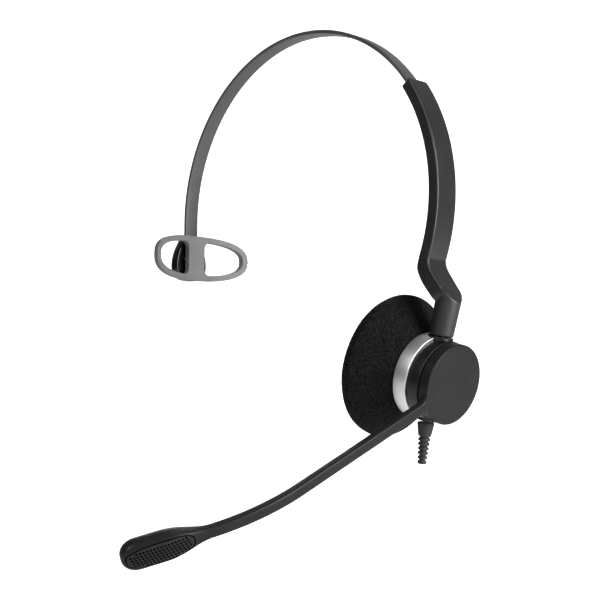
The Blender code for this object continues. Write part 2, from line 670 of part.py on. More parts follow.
def boom_frame(s):
    """Point, direction, width axis and outward normal of the boom at a length s from the hub."""
    a = math.radians(BOOM_ANGLE)
    ahead = Vector((math.sin(a), -math.cos(a), 0))
    across = Vector((-math.cos(a), -math.sin(a), 0))
    out = Vector((0, 0, 1))
    start = -across * BOOM_DROP - out * BOOM_T / 2
    if s <= BOOM_STRAIGHT:
        return start + ahead * s, ahead, across, out
    turn = (min(s, BOOM_BEND_END) - BOOM_STRAIGHT) / BOOM_BEND_R
    tangent = ahead * math.cos(turn) - out * math.sin(turn)
    point = (start + ahead * (BOOM_STRAIGHT + BOOM_BEND_R * math.sin(turn))
             - out * BOOM_BEND_R * (1 - math.cos(turn)) + tangent * max(0.0, s - BOOM_BEND_END))
    return point, tangent, across, out * math.cos(turn) + ahead * math.sin(turn)


def fillet_reach(s, edge, radius):
    """Distance of the bar's side from the hub's centre line at s, with a fillet onto the disc."""
    centre = math.sqrt((HUB_R + radius) ** 2 - (edge + radius) ** 2)
    s = max(s, centre * HUB_R / (HUB_R + radius))
    if s >= centre:
        return edge
    return edge + radius - math.sqrt(radius ** 2 - (centre - s) ** 2)


def boom_section(s):
    """Low side, high side, thickness and squareness of the boom at s."""
    high = fillet_reach(s, BOOM_W / 2 - BOOM_DROP, FILLET_HIGH) + BOOM_DROP
    low = BOOM_DROP - fillet_reach(s, BOOM_W / 2 + BOOM_DROP, FILLET_LOW)
    if s < HEAD_START:
        return low, high, BOOM_T, 6.0
    t = min(1.0, (s - HEAD_START) / HEAD_GROW)
    grow = t * t * (3 - 2 * t)
    tip = max(0.0, (s - (BOOM_LENGTH - TIP_L)) / TIP_L)
    close = 0.12 + 0.88 * math.sqrt(max(0.0, 1 - tip ** 2.2))
    half = (BOOM_W + (HEAD_W - BOOM_W) * grow) / 2 * close
    return -half, half, (BOOM_T + (HEAD_T - BOOM_T) * grow) * close, 6.0 - 3.4 * grow


def boom_ring(s, count=16):
    point, _, across, out = boom_frame(s)
    low, high, thick, power = boom_section(s)
    return [point + across * (a + (low + high) / 2) + out * b
            for a, b in superellipse((high - low) / 2, thick / 2, power, count)]


def boom_skin():
    stations = ([8.0, 13.2, 14.2, 15.2, 16.4, 17.9] + spread(35.0, BOOM_STRAIGHT, 3)
                + spread(BOOM_STRAIGHT, HEAD_START, 7)[1:]
                + spread(HEAD_START, BOOM_LENGTH - TIP_L, 8)[1:]
                + [BOOM_LENGTH - TIP_L + TIP_L * math.sin(math.radians(a)) for a in (22, 44, 64, 80, 90)])
    return loft([boom_ring(s) for s in stations])


def head_matrix():
    """Frame of the microphone head: local X along the boom, local Z out of its outer face."""
    point, ahead, across, out = boom_frame(PANEL_AT)
    return Matrix.Translation(point) @ Matrix((ahead, across, out)).transposed().to_4x4()


def panel_prism(half_l, half_w, low, high, count=20):
    """Oval block across the microphone head, square to its outer face."""
    return moved(prism(superellipse(half_l, half_w, 2.8, count), low, high), head_matrix())


def channel_loft(width, low, high, first, last, count):
    """Strip along the boom, between two depths from its centre line."""
    rings = []
    for s in spread(first, last, count):
        point, _, across, out = boom_frame(s)
        rings.append([point + across * a * width / 2 + out * b
                      for a, b in ((-1, low), (1, low), (1, high), (-1, high))])
    return loft(rings)


def make_boom(mats, spin):
    hub = turned([(0, 0), (HUB_R - 0.4, 0), (HUB_R, -0.4),
                  (HUB_R, -HUB_T), (12.9, -HUB_T), (12.9, -1.7),
                  (0, -1.7)], 40)
    boom = finish_mesh("boom_arm", hub, mats["boom"], spin, 30)
    join(boom, boom_skin(), "add_boom_bar")
    clear = turned([(0, -1.7), (12.9, -1.7), (12.9, -9), (0, -9)], 40)
    cut(boom, clear, "cut_hub_pocket")
    back = -BOOM_T / 2
    cut(boom, channel_loft(1.7, back - 1.5, back + 1.55, 4.5, HEAD_START - 0.7, 19), "cut_lead_channel")
    cut(boom, channel_loft(1.7, back + 0.5, back + 1.55, HEAD_START - 0.9, 115.5, 5), "cut_lead_tunnel")
    cut(boom, panel_prism(PANEL_HALF_L, PANEL_HALF_W, -1.6, 12), "cut_panel_pocket")
    cut(boom, moved(rod(3.45, -2.6, 2, 20), head_matrix()), "cut_capsule_pocket")
    cut(boom, panel_prism(4.3, 2.0, -9, -2), "cut_rear_window")

    cover = channel_loft(1.2, back + 0.02, back + 0.45, 18.5, HEAD_START - 1, 18)
    finish_mesh("boom_channel_cover", cover, mats["boom"], spin)

    panel = finish_mesh("mic_panel", boom_skin(), mats["boom"], spin, 30)
    keep(panel, panel_prism(PANEL_HALF_L - 0.35, PANEL_HALF_W - 0.35, 2.1, 12), "keep_panel")
    rear = finish_mesh("mic_rear_panel", boom_skin(), mats["boom"], spin, 30)
    keep(rear, panel_prism(4.3 - 0.3, 2.0 - 0.3, -9, -2.9), "keep_rear_panel")
    finish_mesh("wind_foam", panel_prism(9.2, 2.6, 1.0, 1.8), mats["foam"], spin)
    head = head_matrix()
    finish_mesh("mic_capsule", moved(rod(2.4, -1.9, 0.7, 20), head), mats["steel"], spin)
    finish_mesh("mic_boot", moved(tube(2.6, 3.15, -2.3, 0.4, 20), head), mats["rubber"], spin)

    path = [(0.0, 0.0, -7.5), (0.0, 0.0, -3.5), (0.8, -1.5, -2.5), (2.0, -3.9, -2.3)]
    lead_z = back + 1.15
    for s in [8.0, 12.0] + spread(18.0, 115.0, 19):
        point, _, _, out = boom_frame(s)
        path.append(tuple(point + out * lead_z))
    finish_mesh("boom_lead", wire(path, 0.3, 6), mats["lead_black"], spin)

    shaft = turned([(1.0, -1.95), (6.0, -1.95), (6.0, -2.9), (2.5, -2.9), (2.5, -7.2),
                    (2.0, -7.2), (2.0, -8.0), (2.5, -8.0), (2.5, -9.0), (1.0, -9.0)], 16)
    shaft = finish_mesh("boom_shaft", shaft, mats["steel"], spin)
    cut(shaft, moved(block((0, -1.2, -1.2), (9, 1.2, 1.2)),
                     Matrix.Translation((0, 0, -2.4))
                     @ Matrix.Rotation(math.radians(BOOM_ANGLE - 90), 4, "Z")), "cut_lead_notch")
    clip = prism(ring_outline(2.12, 3.9, 300), -7.85, -7.3)
    finish_mesh("boom_clip", clip, mats["steel"], spin)
    ring = turned([(8.2, -2.15), (10.6, -2.15), (10.6, -4.25), (8.2, -4.25)], 28)
    finish_mesh("boom_friction_ring", ring, mats["rubber"], spin)


def main():
    clear_scene()
    mats = {
        "band": material("band", (0.030, 0.030, 0.033), 0.42, 0.2),
        "gloss_black": material("gloss_black", (0.006, 0.006, 0.007), 0.12),
        "grey_rubber": material("grey_rubber", (0.15, 0.15, 0.155), 0.55),
        "steel": material("steel", (0.55, 0.55, 0.56), 0.35, 1.0),
        "brass": material("brass", (0.72, 0.55, 0.28), 0.35, 1.0),
        "copper": material("copper", (0.75, 0.40, 0.25), 0.4, 1.0),
        "arm": material("arm", (0.040, 0.040, 0.043), 0.45),
        "drum_black": material("drum_black", (0.012, 0.012, 0.013), 0.35),
        "silver": material("silver", (0.62, 0.63, 0.64), 0.32, 1.0),
        "rubber": material("rubber", (0.015, 0.015, 0.016), 0.6),
        "magnet": material("magnet", (0.16, 0.16, 0.17), 0.4, 0.8),
        "film": material("film", (0.45, 0.43, 0.38), 0.25),
        "felt": material("felt", (0.05, 0.05, 0.05), 0.95),
        "foam": material("foam", (0.010, 0.010, 0.010), 0.95),
        "board": material("board", (0.02, 0.12, 0.05), 0.45),
        "lead_red": material("lead_red", (0.35, 0.02, 0.02), 0.45),
        "lead_black": material("lead_black", (0.012, 0.012, 0.012), 0.5),
        "boom": material("boom", (0.042, 0.042, 0.045), 0.5),
    }
    make_headband(mats)
    make_temple_bracket(mats)
    make_temple_rest(mats, empty("rest_pivot", (PIVOT_X, 0, REST_Z)))
    make_arm(mats)
    turn = (0.0, math.radians(90 + CUP_TILT), 0.0)
    cup = empty("cup_axis", (CUP_X, 0, CUP_Z), turn)
    make_drum(mats, cup)
    make_strain_relief(mats, cup)
    make_speaker(mats, cup)
    make_ear_cushion(mats, cup)
    make_boom(mats, empty("boom_axis", (CUP_X, 0, CUP_Z), turn))


main()
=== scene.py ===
"""Looks for the office headset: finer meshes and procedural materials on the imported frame."""

import json
import math

import bmesh
import bpy
from mathutils import Matrix, Vector, noise


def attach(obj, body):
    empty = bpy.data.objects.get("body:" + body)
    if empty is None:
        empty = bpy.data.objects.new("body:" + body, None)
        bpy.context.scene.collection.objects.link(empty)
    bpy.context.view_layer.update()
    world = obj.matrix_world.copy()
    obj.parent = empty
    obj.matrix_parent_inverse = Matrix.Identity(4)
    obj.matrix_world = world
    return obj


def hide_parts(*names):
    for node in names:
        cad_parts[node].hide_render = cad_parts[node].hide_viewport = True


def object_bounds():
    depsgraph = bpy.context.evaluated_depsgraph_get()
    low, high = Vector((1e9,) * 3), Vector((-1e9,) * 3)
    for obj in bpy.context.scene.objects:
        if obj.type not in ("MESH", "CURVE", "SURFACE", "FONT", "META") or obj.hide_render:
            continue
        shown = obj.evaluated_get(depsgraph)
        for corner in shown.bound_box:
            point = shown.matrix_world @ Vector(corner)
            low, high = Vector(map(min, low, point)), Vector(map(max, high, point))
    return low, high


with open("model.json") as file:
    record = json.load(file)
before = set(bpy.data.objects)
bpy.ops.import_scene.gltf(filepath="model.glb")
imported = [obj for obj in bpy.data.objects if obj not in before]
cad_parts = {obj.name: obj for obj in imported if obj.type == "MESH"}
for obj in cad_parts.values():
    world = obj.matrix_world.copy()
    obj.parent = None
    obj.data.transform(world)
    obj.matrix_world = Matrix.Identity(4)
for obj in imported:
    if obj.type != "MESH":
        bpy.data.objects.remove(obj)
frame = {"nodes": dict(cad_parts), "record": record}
CAD_BOX = [list(corner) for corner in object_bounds()]
NODES = frame["nodes"]

MM = 0.001

# Sizes repeated from the CAD, in millimetres
GAP = 0.3
BAND_R, BAND_SIDE_R, BAND_W, BAND_T = 69.0, 67.45, 6.7, 1.5
BAND_END_ANGLE, BAND_FOOT_Z = 0.0, -13.9
REST_Z, REST_FACE_X, REST_BEND_R, REST_T = -15.9, -62.4, 80.0, 2.6
REST_HALF_L, REST_HALF_H, REST_BAR, REST_BRIDGE = 25.5, 9.6, 2.4, 3.85
REST_POWER, WINDOW_POWER, WINDOW_CORNER, REST_BRIDGE_FRONT = 2.6, 2.5, 2.6, 5.1
BRACKET_FRONT_X, BRACKET_T, PIVOT_X, PIN_HOLE_R = -66.5, 5.2, -66.7, 0.7
KNUCKLE_Y, KNUCKLE_HALF_W, KNUCKLE_R, LUG_HALF_W, LUG_R = 3.1, 0.8, 1.45, 2.1, 1.6
RIVET_Y, RIVET_Z, RIVET_R = 1.8, -10.8, 0.95
ARM_W, ARM_R_IN, ARM_R_OUT, ARM_TOP, ARM_FOOT = 10.8, 67.1, 71.5, 36.0, -20.5
ARM_EDGE_R, ARM_ELBOW_HALF_W = 0.45, 3.4
CHANNEL_W = BAND_W + 2 * GAP
CHANNEL_R = BAND_R + BAND_T / 2 + GAP
CUP_X, CUP_Z, CUP_TILT = 74.5, -69.5, 14.7
DRUM_R, DRUM_IN_R, DRUM_FRONT, DRUM_BACK, DRUM_FRONT_T = 14.6, 12.8, -4.5, -15.9, 1.6
SHAFT_HOLE_R, RING_SEAT_R = 3.4, 14.05
RING_R, RING_IN_R, RING_FRONT, RING_BACK = 15.3, 14.35, -9.5, -15.2
NECK_DEPTH, NECK_FOOT, NECK_TOP, NECK_R_FOOT, NECK_R_TOP = -10.0, 15.6, 32.0, 4.35, 4.75
NECK_BORE_R, NECK_BORE_END, NECK_BOSS_R, NECK_BOSS_END = 3.2, 27.3, 5.25, 13.3
STEM_R, COLLAR_R, COLLAR_START = 2.0, 4.5, 13.4
LEAD_BORE_R, SOCKET_R, SOCKET_START, SOCKET_END = 1.9, 3.45, 13.5, 15.2
LEAD_BOSS_R, SOCKET_HOLE_R, RING_HOLE_R = 4.15, 3.8, 3.95
RELIEF_DEPTH, RELIEF_LEAN, RELIEF_START, RELIEF_BORE_R = -8.8, 7.3, 15.9, 0.95
RELIEF_RIBS, RIBS_START, RIB_PITCH = 6, 5.0, 1.62
CUSHION_R, CUSHION_FACE, CUSHION_FLOOR = 26.5, -31.5, -28.5
FLARE_R, FLARE_BACK = 22.6, -26.0
HUB_R, HUB_T, HUB_FACE_T, HUB_IN_R = 14.5, 4.15, 1.7, 12.9
BOOM_ANGLE, BOOM_DROP, BOOM_W, BOOM_T = 26.5, 1.4, 3.9, 2.95
BOOM_STRAIGHT, BOOM_BEND_END, BOOM_BEND_R, BOOM_LENGTH = 74.7, 108.3, 73.2, 135.7
FILLET_HIGH, FILLET_LOW = 3.0, 5.0
HEAD_START, HEAD_GROW, HEAD_W, HEAD_T, TIP_L = 107.1, 15.5, 9.8, 7.6, 5.7
PANEL_AT, PANEL_HALF_L, PANEL_HALF_W, PANEL_POWER = 123.6, 11.0, 3.6, 2.8
LEAD_CHANNEL_W, LEAD_CHANNEL_T, LEAD_CHANNEL_START, LEAD_TUNNEL_END = 1.7, 1.55, 4.5, 115.5

# Noise steps per millimetre and height in millimetres: a slow swell and two sizes of foam cell
FOAM_UNEVENNESS = [(0.09, 0.16), (1.1, 0.06), (2.4, 0.035)]

# Closer than this to the axis, or to each other, points count as touching
TOUCH = 1e-6


# ---------------------------------------------------------------- materials

def shader_of(mat):
    return mat.node_tree.nodes["Principled BSDF"]


def two_tone(mat, pattern, first, second, start, stop):
    """Base colour that runs from first to second as a noise pattern goes from start to stop."""
    tree = mat.node_tree
    tone = tree.nodes.new("ShaderNodeValToRGB")
    tone.color_ramp.elements[0].position = start
    tone.color_ramp.elements[1].position = stop
    tone.color_ramp.elements[0].color = (*first, 1)
    tone.color_ramp.elements[1].color = (*second, 1)
    tree.links.new(pattern.outputs["Fac"], tone.inputs["Fac"])
    tree.links.new(tone.outputs["Color"], shader_of(mat).inputs["Base Color"])


def surface(name, dark, light, roughness, metallic=0.0, grain=0.35, bump=0.02,
            rough_spread=0.08, specular=0.5, coat=0.0, blotch=9.0):
    """Moulded or coated surface: slow colour drift, fine grain in the bump, uneven gloss.

    grain is the size of the fine texture in millimetres, bump its height in millimetres.
    """
    mat = bpy.data.materials.new(name)
    mat.use_nodes = True
    tree, bsdf = mat.node_tree, shader_of(mat)
    bsdf.inputs["Metallic"].default_value = metallic
    bsdf.inputs["Specular IOR Level"].default_value = specular
    if coat:
        bsdf.inputs["Coat Weight"].default_value = coat
        bsdf.inputs["Coat Roughness"].default_value = 0.06
    place = tree.nodes.new("ShaderNodeTexCoord")

    slow = tree.nodes.new("ShaderNodeTexNoise")
    slow.inputs["Scale"].default_value = 1 / (blotch * MM)
    slow.inputs["Detail"].default_value = 4
    tree.links.new(place.outputs["Object"], slow.inputs["Vector"])
    two_tone(mat, slow, dark, light, 0.3, 0.7)

    fine = tree.nodes.new("ShaderNodeTexNoise")
    fine.inputs["Scale"].default_value = 1 / (grain * MM)
    fine.inputs["Detail"].default_value = 2
    tree.links.new(place.outputs["Object"], fine.inputs["Vector"])
    gloss = tree.nodes.new("ShaderNodeMapRange")
    gloss.inputs["To Min"].default_value = max(0.02, roughness - rough_spread)
    gloss.inputs["To Max"].default_value = min(1.0, roughness + rough_spread)
    tree.links.new(fine.outputs["Fac"], gloss.inputs["Value"])
    tree.links.new(gloss.outputs["Result"], bsdf.inputs["Roughness"])
    relief = tree.nodes.new("ShaderNodeBump")
    relief.inputs["Strength"].default_value = 1.0
    relief.inputs["Distance"].default_value = bump * MM
    tree.links.new(fine.outputs["Fac"], relief.inputs["Height"])
    tree.links.new(relief.outputs["Normal"], bsdf.inputs["Normal"])
    return mat


def foam_material(name, wall, cell_shade, cell_size):
    """Open-cell foam: speckled between a painted shade for its open cells and the wall tone, cells in the
    bump, a soft sheen.
    """
    mat = surface(name, wall, wall, 0.95, grain=cell_size, bump=0.3, specular=0.10)
    tree, bsdf = mat.node_tree, shader_of(mat)
    bsdf.inputs["Sheen Weight"].default_value = 0.008
    bsdf.inputs["Sheen Roughness"].default_value = 0.6
    place = tree.nodes["Texture Coordinate"]
    cells = tree.nodes.new("ShaderNodeTexVoronoi")
    cells.feature = "DISTANCE_TO_EDGE"
    cells.inputs["Scale"].default_value = 1 / (cell_size * MM)
    tree.links.new(place.outputs["Object"], cells.inputs["Vector"])
    specks = tree.nodes.new("ShaderNodeTexNoise")
    specks.inputs["Scale"].default_value = 1 / (1.5 * cell_size * MM)
    specks.inputs["Detail"].default_value = 5
    specks.inputs["Roughness"].default_value = 0.75
    tree.links.new(place.outputs["Object"], specks.inputs["Vector"])
    # The dark speck tone is painted shade for the open cells; the wall tone is the foam's own colour.
    two_tone(mat, specks, cell_shade, wall, 0.46, 0.64)
    relief = tree.nodes["Bump"]
    relief.invert = True
    tree.links.new(cells.outputs["Distance"], relief.inputs["Height"])
    return mat


MATS = {
    "band": surface("band_coat", (0.050, 0.050, 0.052), (0.064, 0.064, 0.066), 0.40, 0.0,
                    grain=0.18, bump=0.004, specular=0.6),
    "gloss_black": surface("bracket_gloss", (0.002, 0.002, 0.002), (0.004, 0.004, 0.004), 0.24,
                           grain=1.5, bump=0.002, rough_spread=0.03, specular=0.35, coat=0.15),
    "grey_rubber": surface("rest_rubber", (0.130, 0.130, 0.132), (0.158, 0.158, 0.160), 0.62,
                           grain=0.25, bump=0.012),
    "steel": surface("steel", (0.50, 0.50, 0.51), (0.60, 0.60, 0.61), 0.34, 1.0,
                     grain=0.12, bump=0.004),
    "brass": surface("brass", (0.62, 0.46, 0.21), (0.74, 0.57, 0.29), 0.32, 1.0, grain=0.2, bump=0.003),
    "copper": surface("copper", (0.66, 0.31, 0.17), (0.80, 0.42, 0.26), 0.38, 1.0, grain=0.2, bump=0.01),
    "arm": surface("arm_plastic", (0.014, 0.014, 0.014), (0.019, 0.019, 0.019), 0.33,
                   grain=0.22, bump=0.010),
    "drum_black": surface("drum_plastic", (0.002, 0.002, 0.002), (0.004, 0.004, 0.004), 0.34,
                          grain=0.22, bump=0.005),
    "silver": surface("ring_silver", (0.80, 0.80, 0.81), (0.88, 0.88, 0.89), 0.40, 1.0,
                      grain=0.15, bump=0.003),
    "rubber": surface("black_rubber", (0.006, 0.006, 0.007), (0.011, 0.011, 0.012), 0.55,
                      grain=0.3, bump=0.012),
    "magnet": surface("magnet_plate", (0.12, 0.12, 0.13), (0.19, 0.19, 0.20), 0.40, 0.9,
                      grain=0.3, bump=0.004),
    "film": surface("diaphragm_film", (0.36, 0.34, 0.30), (0.47, 0.45, 0.40), 0.25,
                    grain=0.8, bump=0.01),
    "felt": surface("felt", (0.022, 0.022, 0.022), (0.050, 0.050, 0.050), 0.95,
                    grain=0.15, bump=0.10, specular=0.2, blotch=1.2),
    # Foam: its wall tone, then a near-black painted shade for its open cells, then the cell size in
    # millimetres.
    "foam": foam_material("cushion_foam", (0.017, 0.017, 0.017), (0.0010, 0.0010, 0.0010), 0.42),
    "board": surface("board_green", (0.012, 0.085, 0.036), (0.020, 0.120, 0.050), 0.42,
                     grain=0.5, bump=0.01),
    "lead_red": surface("lead_red", (0.26, 0.012, 0.012), (0.36, 0.02, 0.02), 0.42, grain=0.3, bump=0.004),
    "lead_black": surface("lead_black", (0.008, 0.008, 0.008), (0.014, 0.014, 0.014), 0.45,
                          grain=0.3, bump=0.004),
    "boom": surface("boom_plastic", (0.008, 0.008, 0.008), (0.011, 0.011, 0.011), 0.40,
                    grain=0.22, bump=0.008, specular=0.22),
}

for entry in frame["record"]["subparts"]:
    for part_slot in NODES[entry["node"]].material_slots:
        part_slot.material = MATS[entry["material_slot"]]


# ---------------------------------------------------------------- mesh tools (millimetres)

def turned(profile, segments):
    """Closed solid turned about Z from (radius, height) points in order round its section."""
    bm = bmesh.new()
    rows = []
    for r, z in profile:
        if r < TOUCH:
            rows.append([bm.verts.new((0, 0, z))])
        else:
            turn = [2 * math.pi * i / segments for i in range(segments)]
            rows.append([bm.verts.new((r * math.cos(a), r * math.sin(a), z)) for a in turn])
    for a, b in zip(rows, rows[1:] + rows[:1]):
        if len(a) == 1 and len(b) == 1:
            continue
        for i in range(segments):
            j = (i + 1) % segments
            corners = [a[i % len(a)], a[j % len(a)], b[j % len(b)], b[i % len(b)]]
            bm.faces.new(list(dict.fromkeys(corners)))
    return bm


def loft(rings):
    """Closed skin through rings with the same number of points, capped at both ends."""
    bm = bmesh.new()
    rows = [[bm.verts.new(p) for p in ring] for ring in rings]
    for a, b in zip(rows, rows[1:]):
        for i in range(len(a)):
            j = (i + 1) % len(a)
            bm.faces.new((a[i], a[j], b[j], b[i]))
    bm.faces.new(rows[0])
    bm.faces.new(rows[-1])
    return bm


def rod(radius, low, high):
    return turned([(0, low), (radius, low), (radius, high), (0, high)], 48)


def block(low, high):
    """Box between two corners."""
    bm = bmesh.new()
    bmesh.ops.create_cube(bm, size=1.0)
    size = [h - l for l, h in zip(low, high)]
    middle = [(h + l) / 2 for l, h in zip(low, high)]
    bm.transform(Matrix.Translation(middle) @ Matrix.Diagonal((*size, 1)))
    return bm


def moved(bm, matrix):
    bm.transform(matrix)
    return bm


def merged(parts):
    """One bmesh from several, which are freed."""
    out = bmesh.new()
    for part in parts:
        mesh = bpy.data.meshes.new("part")
        part.to_mesh(mesh)
        part.free()
        out.from_mesh(mesh)
        bpy.data.meshes.remove(mesh)
    return out


def prism(outline, low, high, axis="Z"):
    """Flat outline pushed from low to high along an axis."""
    place = {
        "X": lambda p, h: (h, p[0], p[1]),
        "Y": lambda p, h: (p[0], h, p[1]),
        "Z": lambda p, h: (p[0], p[1], h),
    }[axis]
    return loft([[place(p, low) for p in outline], [place(p, high) for p in outline]])


def superellipse(a, b, power, count):
    out = []
    for i in range(count):
        t = 2 * math.pi * i / count
        c, s = math.cos(t), math.sin(t)
        out.append((a * math.copysign(abs(c) ** (2 / power), c),
                    b * math.copysign(abs(s) ** (2 / power), s)))
    return out


def smooth_through(points, steps):
    """Catmull-Rom curve through open control points."""
    ends = [points[0]] + list(points) + [points[-1]]
    out = []
    for p0, p1, p2, p3 in zip(ends, ends[1:], ends[2:], ends[3:]):
        for k in range(steps):
            t = k / steps
            out.append(tuple(
                0.5 * (2 * b + (c - a) * t + (2 * a - 5 * b + 4 * c - d) * t * t
                       + (3 * b - a - 3 * c + d) * t ** 3)
                for a, b, c, d in zip(p0, p1, p2, p3)))
    out.append(tuple(points[-1]))
    return out


def eased(profile, radius, steps=4):
    """Closed (radius, height) section with its corners rounded; points on the axis stay."""
    out = []
    count = len(profile)
    for i, p in enumerate(profile):
        here, before, after = Vector(p), Vector(profile[i - 1]), Vector(profile[(i + 1) % count])
        a, b = before - here, after - here
        if min(p[0], a.length, b.length) < TOUCH:
            out.append(tuple(p))
            continue
        cut_back = min(radius, 0.45 * a.length, 0.45 * b.length)
        start, end = here + a.normalized() * cut_back, here + b.normalized() * cut_back
        for k in range(steps + 1):
            t = k / steps
            out.append(tuple(start * (1 - t) ** 2 + here * 2 * t * (1 - t) + end * t * t))
    return out


def polar(radius, degrees, y=0.0):
    """Point of the side view at a radius and angle round the centre of the band."""
    a = math.radians(degrees)
    return Vector((radius * math.cos(a), y, radius * math.sin(a)))


def spread(first, last, count):
    """Evenly spaced values from first to last, both included."""
    return [first + (last - first) * i / (count - 1) for i in range(count)]


def round_rect(width, thick, radius):
    """Rounded rectangle as (across, out) points."""
    out = []
    steps = 5
    for cx, cy, start in ((1, 1, 0), (-1, 1, 90), (-1, -1, 180), (1, -1, 270)):
        for k in range(steps + 1):
            a = math.radians(start + 90 * k / steps)
            out.append((cx * (width / 2 - radius) + radius * math.cos(a),
                        cy * (thick / 2 - radius) + radius * math.sin(a)))
    return out


def raw_object(name, bm):
    """Linked object from a bmesh, with doubled points welded and its faces turned outward."""
    bmesh.ops.remove_doubles(bm, verts=bm.verts, dist=1e-5)
    bmesh.ops.recalc_face_normals(bm, faces=bm.faces)
    mesh = bpy.data.meshes.new(name)
    bm.to_mesh(mesh)
    bm.free()
    obj = bpy.data.objects.new(name, mesh)
    bpy.context.scene.collection.objects.link(obj)
    return obj


def settled(obj):
    """Applies every modifier on an object and leaves it with one plain mesh."""
    bpy.context.view_layer.update()
    graph = bpy.context.evaluated_depsgraph_get()
    mesh = bpy.data.meshes.new_from_object(obj.evaluated_get(graph))
    obj.modifiers.clear()
    old = obj.data
    obj.data = mesh
    bpy.data.meshes.remove(old)
    return obj


def carved(obj, steps):
    """Runs Boolean steps of (operation, bmesh) on an object, then removes the tools."""
    tools = []
    for i, (operation, bm) in enumerate(steps):
        other = raw_object(f"tool_{i}", bm)
        tools.append(other)
        mod = obj.modifiers.new(f"step_{i}", "BOOLEAN")
        mod.operation = operation
        mod.solver = "EXACT"
        mod.object = other
    settled(obj)
    for other in tools:
        mesh = other.data
        bpy.data.objects.remove(other, do_unlink=True)
        bpy.data.meshes.remove(mesh)
    return obj


def remeshed(obj, voxel, rounds):
    """Even skin over a solid, with its edges softened by a number of rounds."""
    skin = obj.modifiers.new("skin", "REMESH")
    skin.mode = "VOXEL"
    skin.voxel_size = voxel
    soft = obj.modifiers.new("soften", "SMOOTH")
    soft.factor = 0.5
    soft.iterations = rounds
    return settled(obj)


def piece(obj, mat, body, node, place=Matrix.Identity(4), angle=0.0):
    """Finishes a raw millimetre object: place, metres, material, shading, body and CAD node.

    Edges sharper than angle degrees stay sharp. An angle of 0 leaves every edge smooth.
    """
    obj.data.transform(place)
    obj.data.transform(Matrix.Scale(MM, 4))
    obj.data.materials.clear()
    obj.data.materials.append(MATS[mat])
    obj.data.shade_smooth()
    if angle:
        obj.data.set_sharp_from_angle(angle=math.radians(angle))
    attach(obj, body)
    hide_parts(node)


# ---------------------------------------------------------------- frames

CUP = Matrix.Translation((CUP_X, 0, CUP_Z)) @ Matrix.Rotation(math.radians(90 + CUP_TILT), 4, "Y")


def up_the_neck(height):
    """Frame at a height on the cup's axis, with its Z along the neck."""
    return Matrix.Translation((0, 0, height)) @ Matrix.Rotation(-math.pi / 2, 4, "Y")


def down_the_cup(height):
    """Frame at a height on the cup's axis, with its Z along the strain relief."""
    return Matrix.Translation((0, 0, height)) @ Matrix.Rotation(math.pi / 2, 4, "Y")


NECK = CUP @ up_the_neck(NECK_DEPTH)


# ---------------------------------------------------------------- headband

def make_band():
    """Flat strip: a round arc on the arm's side, a narrower one on the other and a straight foot."""
    section = round_rect(BAND_W, BAND_T, 0.42)
    stations = []
    for a in spread(BAND_END_ANGLE, 90.0, 80):
        stations.append((polar(BAND_R, a), polar(1.0, a)))
    for a in spread(90.0, 180.0, 80)[1:]:
        c, s = math.cos(math.radians(a)), math.sin(math.radians(a))
        stations.append((Vector((BAND_SIDE_R * c, 0, BAND_R * s)),
                         Vector((c / BAND_SIDE_R, 0, s / BAND_R)).normalized()))
    for z in spread(-1.0, BAND_FOOT_Z, 8):
        stations.append((Vector((-BAND_SIDE_R, 0, z)), Vector((-1, 0, 0))))
    rings = [[point + Vector((0, w, 0)) + out * t for w, t in section] for point, out in stations]
    strip = raw_object("band_strip", loft(rings))
    piece(strip, "band", "headband", "headband_strip", angle=50)


def bracket_outline():
    """Shield shape as (y, z) points, its right half drawn and its left half mirrored."""
    right = [(4.4, -7.9), (5.6, -10.0), (6.9, -12.5), (7.9, -15.5), (8.3, -18.2),
             (8.1, -20.9), (7.0, -23.3), (4.4, -25.0), (0.0, -25.5)]
    curve = smooth_through(right, 6)
    return curve + [(-y, z) for y, z in reversed(curve[:-1])]


